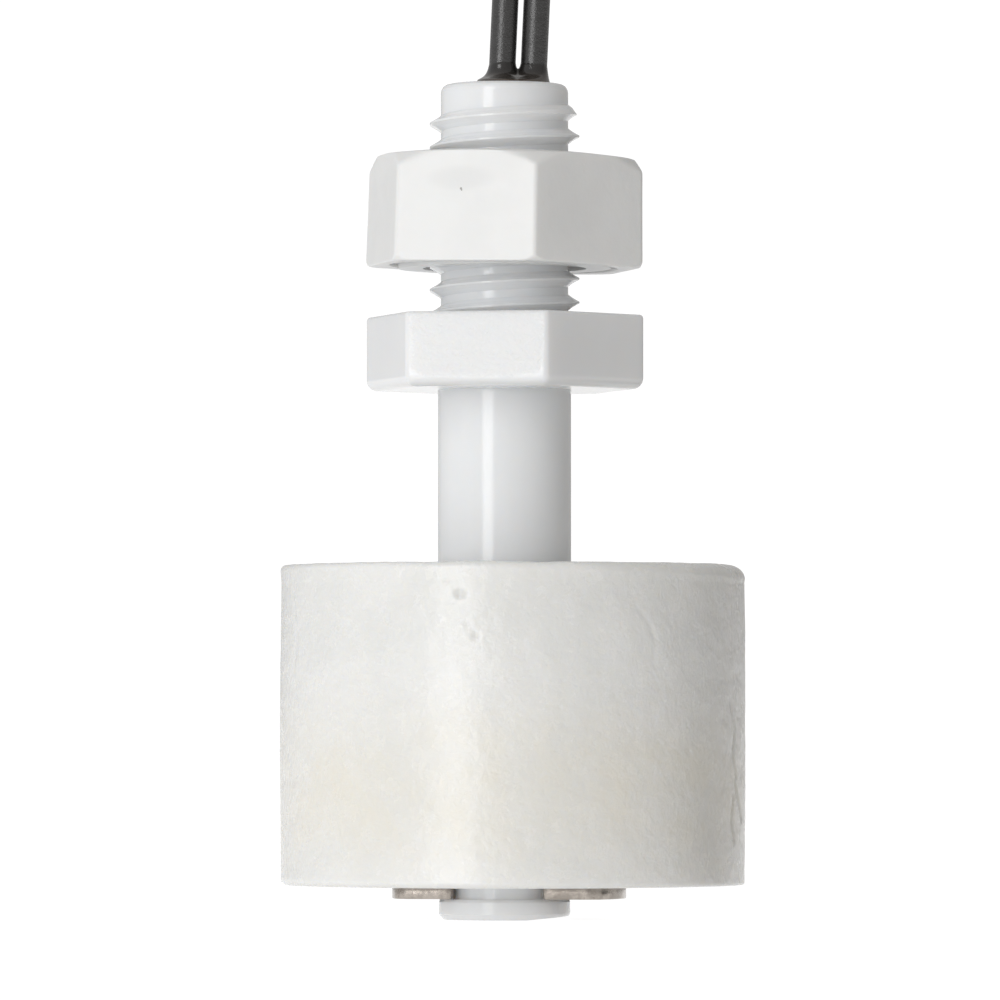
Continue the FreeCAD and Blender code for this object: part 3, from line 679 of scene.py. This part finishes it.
def simple(name, dark, light, rough, metallic=0.0, scale=2.0, bump=0.3, transmission=0.0):
    """A two-toned material with mottled roughness and a fine bump."""
    m = Mat(name)
    n1 = m.noise(scale, 4)
    n2 = m.noise(scale * 4.5, 3, 0.6)
    m.set(
        Base_Color=m.mix(m.step(n1, 0.38, 0.64), dark, light),
        Roughness=m.math("ADD", rough, m.math("MULTIPLY", n2, 0.15)),
    )
    m.p.inputs["Metallic"].default_value = metallic
    m.p.inputs["Transmission Weight"].default_value = transmission
    m.bump((n1, bump, 0.03), (n2, bump * 0.7, 0.01))
    return m.m


MATS = {
    "white_pp": white_pp(),
    "nut_pp": nut_pp(),
    "float_pp": float_pp(),
    "spring_steel": spring_steel(),
    "black_epoxy": black_epoxy(),
    "lead_pvc": lead_pvc(),
    "ferrite": simple("ferrite", (0.045, 0.043, 0.042), (0.075, 0.072, 0.07), 0.5, 0.2, 3.0),
    "amber_glue": simple("amber_glue", (0.55, 0.33, 0.08), (0.68, 0.45, 0.14), 0.25, 0, 1.2),
    "reed_glass": simple("reed_glass", (0.78, 0.86, 0.80), (0.88, 0.93, 0.89), 0.04, 0, 0.8, 0.08, 0.9),
    "reed_metal": simple("reed_metal", (0.52, 0.50, 0.46), (0.66, 0.64, 0.60), 0.28, 1.0, 4.0),
    "tinned_copper": simple("tinned_copper", (0.58, 0.58, 0.57), (0.74, 0.74, 0.73), 0.26, 1.0, 5.0),
    "solder": simple("solder", (0.50, 0.50, 0.50), (0.70, 0.70, 0.69), 0.22, 1.0, 2.5, 0.5),
    "sleeve_black": simple("sleeve_black", (0.02, 0.02, 0.02), (0.035, 0.034, 0.033), 0.45, 0, 3.0),
    "tie_black": simple("tie_black", (0.018, 0.018, 0.019), (0.03, 0.03, 0.031), 0.42, 0, 3.0, 0.4),
}

slot_of = {
    "stem_body": "white_pp",
    "mounting_nut": "nut_pp",
    "nut_washer_face": "nut_pp",
    "float_body": "float_pp",
    "float_end_cap": "float_pp",
    "ring_magnet": "ferrite",
    "magnet_potting": "amber_glue",
    "retaining_clip": "spring_steel",
    "potting_plug": "black_epoxy",
    "reed_capsule": "reed_glass",
    "reed_blade_fixed": "reed_metal",
    "reed_pin_lower": "reed_metal",
    "reed_blade_moving": "reed_metal",
    "return_lead": "tinned_copper",
    "return_lead_sleeve": "sleeve_black",
    "solder_joint_a": "solder",
    "solder_joint_b": "solder",
    "solder_joint_lower": "solder",
    "lead_core_a": "tinned_copper",
    "lead_core_b": "tinned_copper",
    "lead_a": "lead_pvc",
    "lead_b": "lead_pvc",
    "lead_tip_a": "tinned_copper",
    "lead_tip_b": "tinned_copper",
    "lead_coil": "lead_pvc",
    "coil_tie": "tie_black",
}
for name, obj in nodes.items():
    mat = MATS[slot_of[name]]
    if not obj.material_slots:
        obj.data.materials.append(mat)
    for s in obj.material_slots:
        s.material = mat
for obj, key in (
    (lead_a, "lead_pvc"),
    (lead_b, "lead_pvc"),
    (tip_a, "tinned_copper"),
    (tip_b, "tinned_copper"),
    (tie, "tie_black"),
):
    obj.data.materials.append(MATS[key])


# --- nut ------------------------------------------------------------------------------------------
def corner_angles(turn, coarse=20, fine=12, spread=3.2):
    """Angles round a hexagon, crowded near its corners."""
    out = []
    for k in range(6):
        c = turn + 60 * k
        out += [c + spread * (-1 + 2 * i / fine) for i in range(fine)]
        span = 60 - 2 * spread
        out += [c + spread + span * i / coarse for i in range(coarse)]
    return np.radians(np.array(out))


def hex_radius(theta, turn, flat, round_k):
    """Distance from the axis to a hexagon with softly rounded corners."""
    n = [math.radians(turn + 30 + 60 * k) for k in range(6)]
    d = np.stack([np.cos(theta - a) for a in n])
    d = np.where(d > 0.3, flat / np.maximum(d, 0.3), 1e3)
    d.sort(axis=0)
    return smin(d[0], d[1], round_k)


def make_nut():
    turn = -17.9
    low, top = 2.56, 8.5
    th = corner_angles(turn)
    cos, sin = np.cos(th), np.sin(th)
    front = math.radians(turn + 270)

    def outer(z):
        flat = 6.65 - (z - low) * math.tan(math.radians(1.0))
        r = hex_radius(th, turn, flat, 0.17)
        r = smin(r, 6.83 + (8.3 - z) * 1.05, 0.18)
        r = smin(r, 6.83 + (8.3 - z) * 8.64, 0.10)
        r = smin(r, 7.38 + (z - low) * 1.0, 0.08)
        # a shallow sink over the thick part of each flat, and the deeper one in front
        for k in range(6):
            a = math.radians(turn + 30 + 60 * k)
            u = 6.5 * np.tan(np.clip(np.angle(np.exp(1j * (th - a))), -0.55, 0.55))
            r = r - 0.035 * np.exp(-((u / 2.1) ** 2) - ((z - 5.4) / 1.9) ** 2)
            if k == 3:
                r = r - 0.05 * np.exp(-(((u + 0.35) / 1.5) ** 2) - ((z - 7.0) / 0.55) ** 2)
        return r

    def ring(r, z):
        r = np.broadcast_to(r, th.shape)
        return np.stack([r * cos, r * sin, np.full(th.shape, z)], axis=1)

    def bore(z):
        base = 0.72
        ph = (z - base) / 1.25 - th / (2 * math.pi)
        d = np.abs((ph + 0.5) % 1.0 - 0.5) * 1.25
        f = np.clip((0.50 - d) / 0.34, 0, 1)
        f = f * f * (3 - 2 * f)
        return 3.49 + 0.58 * f

    rings = []
    rings.append(ring(5.98, low + 0.25))
    for r, z in ((4.6, low + 0.25), (4.2, low + 0.25), (4.14, low + 0.28)):
        rings.append(ring(r, z))
    z = low + 0.34
    while z < top - 0.10:
        lead_in = 4.12 - max(0.0, z - low - 0.30)
        lead_out = 4.08 - max(0.0, top - 0.06 - z)
        r = np.maximum(bore(z), max(lead_in, lead_out))
        rings.append(ring(r, z))
        z += 0.085
    rings.append(ring(4.08, top - 0.03))
    rings.append(ring(4.14, top))
    for f in (0.25, 0.5, 0.75, 0.94, 0.98):
        rings.append(ring(4.14 + (outer(top) - 0.1 - 4.14) * f, top))
    rho = 0.09
    for a in (10, 30, 50, 70, 90):
        s = math.radians(a)
        zz = top - rho * (1 - math.cos(s))
        rings.append(ring(outer(zz) - rho * (1 - math.sin(s)), zz))
    z = top - rho - 0.05
    while z > low + 0.12:
        rings.append(ring(outer(z), z))
        z -= 0.02 if z > 8.15 else 0.06 if z > 6.2 or z < 3.3 else 0.12
    rho = 0.07
    for a in (0, 30, 60, 90):
        s = math.radians(a)
        zz = low + rho * (1 - math.sin(s))
        rings.append(ring(outer(zz) - rho * (1 - math.cos(s)), zz))
    rings.append(ring(outer(low) - 0.25, low))
    rings.append(ring(6.10, low))
    rings.append(ring(6.03, low + 0.01))
    rings.append(ring(6.0, low + 0.05))
    rings.append(ring(5.99, low + 0.2))
    obj = ring_mesh("nut_moulding", rings)
    # it sits a little askew on its thread
    tilt = math.radians(1.1)
    c, s = math.cos(tilt), math.sin(tilt)
    for v in obj.data.vertices:
        x, z = v.co.x, v.co.z - 5.4 * MM
        v.co.x = x * c + z * s
        v.co.z = -x * s + z * c + 5.4 * MM
    obj.data.update()
    obj.data.materials.append(MATS["nut_pp"])
    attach(obj, "nut")
    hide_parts("mounting_nut")
    return obj


make_nut()


# --- float ----------------------------------------------------------------------------------------
def make_float():
    n = 540
    th = np.linspace(0, 2 * math.pi, n, endpoint=False)
    cos, sin = np.cos(th), np.sin(th)
    cx = 0.43
    low, top = -29.88, -13.08
    rad = 12.2
    right = 0.5 + 0.5 * cos

    def corner(r0, z0, rho, up):
        """Rings round a corner whose radius rho varies with the angle."""
        out = []
        for a in (90, 78, 64, 50, 36, 22, 10, 0):
            s = math.radians(a)
            out.append((r0 - rho * (1 - math.cos(s)), z0 - up * rho * (1 - math.sin(s))))
        return out

    rho_top = 0.28 + 0.50 * right ** 2
    rho_low = 0.34 - 0.20 * right ** 2
    prof = []
    # bore, going up
    for r, z in ((4.30, low), (4.12, low + 0.06), (4.075, low + 0.25)):
        prof.append((np.full(n, r), np.full(n, z)))
    for z in np.linspace(low + 1.0, top - 1.0, 12):
        prof.append((np.full(n, 4.075), np.full(n, z)))
    for r, z in ((4.075, top - 0.25), (4.12, top - 0.06), (4.30, top)):
        prof.append((np.full(n, r), np.full(n, z)))
    # top face
    for r in np.linspace(4.8, 11.2, 16):
        prof.append((np.full(n, r), np.full(n, top)))
    for r, z in corner(rad, top, rho_top, 1):
        prof.append((r, z))
    # wall
    for z in np.linspace(top - 0.95, low + 0.55, 118):
        mid = 1 - ((z + 21.5) / 8.4) ** 2
        prof.append((np.full(n, rad - 0.04 + 0.06 * mid), np.full(n, z)))
    for r, z in reversed(corner(rad - 0.02, low, rho_low, -1)):
        prof.append((r, z))
    for r in (11.3, 10.4, 9.4, 8.5, 8.12):
        prof.append((np.full(n, r), np.full(n, low)))
    # the magnet's pocket, shut by the end cap
    prof.append((np.full(n, 8.03), np.full(n, low + 0.06)))
    prof.append((np.full(n, 8.0), np.full(n, low + 0.3)))
    prof.append((np.full(n, 8.0), np.full(n, -26.0)))
    prof.append((np.full(n, 8.0), np.full(n, -22.6)))
    prof.append((np.full(n, 6.5), np.full(n, -22.6)))
    prof.append((np.full(n, 5.0), np.full(n, -22.6)))
    prof.append((np.full(n, 5.0), np.full(n, -26.0)))
    prof.append((np.full(n, 5.0), np.full(n, low + 0.3)))
    prof.append((np.full(n, 4.97), np.full(n, low + 0.06)))
    prof.append((np.full(n, 4.88), np.full(n, low)))

    dents = [  # (angle in degrees, z, radius, depth)
        (257.0, -14.80, 0.24, 0.12),
        (261.0, -16.95, 0.18, 0.10),
        (253.6, -14.15, 0.13, 0.06),
        (258.8, -16.35, 0.13, 0.07),
        (318.0, -22.9, 0.16, 0.05),
        (222.0, -19.4, 0.14, 0.05),
        (40.0, -18.2, 0.25, 0.08),
        (95.0, -24.0, 0.20, 0.07),
        (150.0, -16.6, 0.22, 0.08),
    ]
    creases = [  # polylines of (angle, z), with half width and depth
        ([(338, -20.2), (341, -21.6), (339.6, -23.0), (342.5, -24.2)], 0.10, 0.10),
        ([(341, -24.4), (345.5, -25.6), (349, -26.4)], 0.11, 0.16),
        ([(340, -25.2), (338.6, -26.5), (341.5, -27.6)], 0.10, 0.10),
        ([(301, -15.4), (305, -16.2), (307, -17.2), (306, -18.4)], 0.12, 0.035),
        ([(200, -14.6), (203, -16.9), (201, -18.8)], 0.12, 0.04),
        ([(75, -20.0), (79, -22.4), (77, -25.0)], 0.11, 0.07),
    ]

    def seg_dist(px, pz, a, b):
        ax, az, bx, bz = a[0], a[1], b[0], b[1]
        dx, dz = bx - ax, bz - az
        t = np.clip(((px - ax) * dx + (pz - az) * dz) / (dx * dx + dz * dz), 0, 1)
        return np.hypot(px - ax - t * dx, pz - az - t * dz)

    rings = []
    for r, z in prof:
        r = np.array(r, float)
        z = np.array(z, float)
        outer = np.clip((r - 9.5) / 2.0, 0, 1)
        face = np.clip((z - (top - 0.9)) / 0.9, 0, 1)
        if outer.max() > 0:
            bump = np.array(
                [
                    noise.noise(Vector((0.16 * r[i] * cos[i], 0.16 * r[i] * sin[i], 0.16 * z[i]))) * 0.055
                    + noise.noise(Vector((0.8 * r[i] * cos[i] + 5, 0.8 * r[i] * sin[i], 0.8 * z[i]))) * 0.022
                    + noise.noise(Vector((2.2 * r[i] * cos[i] + 9, 2.2 * r[i] * sin[i], 2.2 * z[i]))) * 0.010
                    for i in range(n)
                ]
            )
            r = r + bump * outer
            arc = np.degrees(th) * math.pi / 180 * rad
            for a, zc, rr, depth in dents:
                d = (np.degrees(th) - a) * math.pi / 180 * rad
                r = r - depth * outer * np.exp(-((d * d + (z - zc) ** 2) / (rr * rr)) ** 2)
            for line, half, depth in creases:
                pts = [(math.radians(a) * rad, zz) for a, zz in line]
                d = np.min([seg_dist(arc, z, p, q) for p, q in zip(pts, pts[1:])], axis=0)
                r = r - depth * outer * np.exp(-((d / half) ** 2))
        if face.max() > 0:
            wave = np.array(
                [
                    noise.noise(Vector((0.35 * r[i] * cos[i], 0.35 * r[i] * sin[i], 3.0))) * 0.05
                    + noise.noise(Vector((1.4 * r[i] * cos[i], 1.4 * r[i] * sin[i], 7.0))) * 0.02
                    for i in range(n)
                ]
            )
            z = z + wave * face * np.clip((r - 4.2) / 1.0, 0, 1) - 0.04 * face
        rings.append(np.stack([cx + r * cos, r * sin, z], axis=1))
    obj = ring_mesh("float_moulding", rings)
    obj.data.materials.append(MATS["float_pp"])
    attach(obj, "float")
    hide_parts("float_body")
    return obj


make_float()


# --- potting drawn up round the leads ------------------------------------------------------------
def make_potting():
    n = 120
    th = np.linspace(0, 2 * math.pi, n, endpoint=False)
    rings = []
    cx, sx, sy = 0.42, 2.04, 2.1

    def lead_centre(z):
        k = math.tan(math.radians(2.6))
        return -0.213 + (z - 11.075) * k, 1.446 + (z - 11.0) * k

    # underside in the bore
    for r, z in ((2.2, -2.95), (2.24, 0.0), (2.24, 6.0), (2.24, 11.9), (2.25, 12.12)):
        rings.append(np.stack([r * np.cos(th), r * np.sin(th), np.full(n, z)], axis=1))
    for u in np.concatenate([[1.0, 0.995, 0.985], np.linspace(0.97, 0.0, 60)[:-1], [0.004]]):
        x = cx * min(1.0, u * 1.0 + 0.0) + (sx * u) * np.cos(th)
        x = cx + sx * u * np.cos(th)
        y = sy * u * np.sin(th)
        z = np.full(n, 12.2)
        for _ in range(3):
            k = math.tan(math.radians(2.6))
            xa = -0.213 + (z - 11.075) * k
            xb = 1.446 + (z - 11.0) * k
            da = np.hypot(x - xa, y) - 0.70
            db = np.hypot(x - xb, y) - 0.70
            d = np.maximum(smin(da, db, 0.25), -0.12)
            dd = np.maximum(d, 0)
            rise = (
                0.44 * np.exp(-dd / 0.16) + 0.42 * np.exp(-dd / 1.1) + 0.20 * np.exp(-dd / 0.05)
            )
            edge = np.clip((1 - u) / 0.12, 0, 1)
            edge = edge * edge * (3 - 2 * edge)
            z = 12.2 + 0.10 * (1 - u * u) + rise * (0.02 + 0.98 * edge)
        z = z + 0.02 * np.sin(3 * th + 1.0) * edge
        rings.append(np.stack([x, y, z], axis=1))
    obj = ring_mesh("potting_skirt", rings, closed_profile=False, cap_ends=True)
    obj.data.materials.append(MATS["black_epoxy"])
    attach(obj, "stem")
    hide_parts("potting_plug")
    return obj


make_potting()


# --- clip with broken edges -----------------------------------------------------------------------
def make_clip():
    me = nodes["retaining_clip"].data.copy()
    me.name = "clip_ring"
    obj = link(bpy.data.objects.new("clip_ring", me))
    bm = bmesh.new()
    bm.from_mesh(me)
    bmesh.ops.remove_doubles(bm, verts=bm.verts, dist=1e-6)
    bmesh.ops.dissolve_limit(bm, angle_limit=math.radians(2), verts=bm.verts, edges=bm.edges)
    bmesh.ops.recalc_face_normals(bm, faces=bm.faces)
    sharp = [e for e in bm.edges if len(e.link_faces) == 2 and e.calc_face_angle(0) > math.radians(35)]
    bmesh.ops.bevel(
        bm, geom=sharp, offset=0.07 * MM, offset_type="OFFSET", segments=3, profile=0.5,
        affect="EDGES", clamp_overlap=True,
    )
    for f in bm.faces:
        f.smooth = True
    bm.to_mesh(me)
    bm.free()
    me.materials.clear()
    me.materials.append(MATS["spring_steel"])
    if "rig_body" in obj:
        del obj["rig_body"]
    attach(obj, "stem")
    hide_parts("retaining_clip")
    return obj


make_clip()
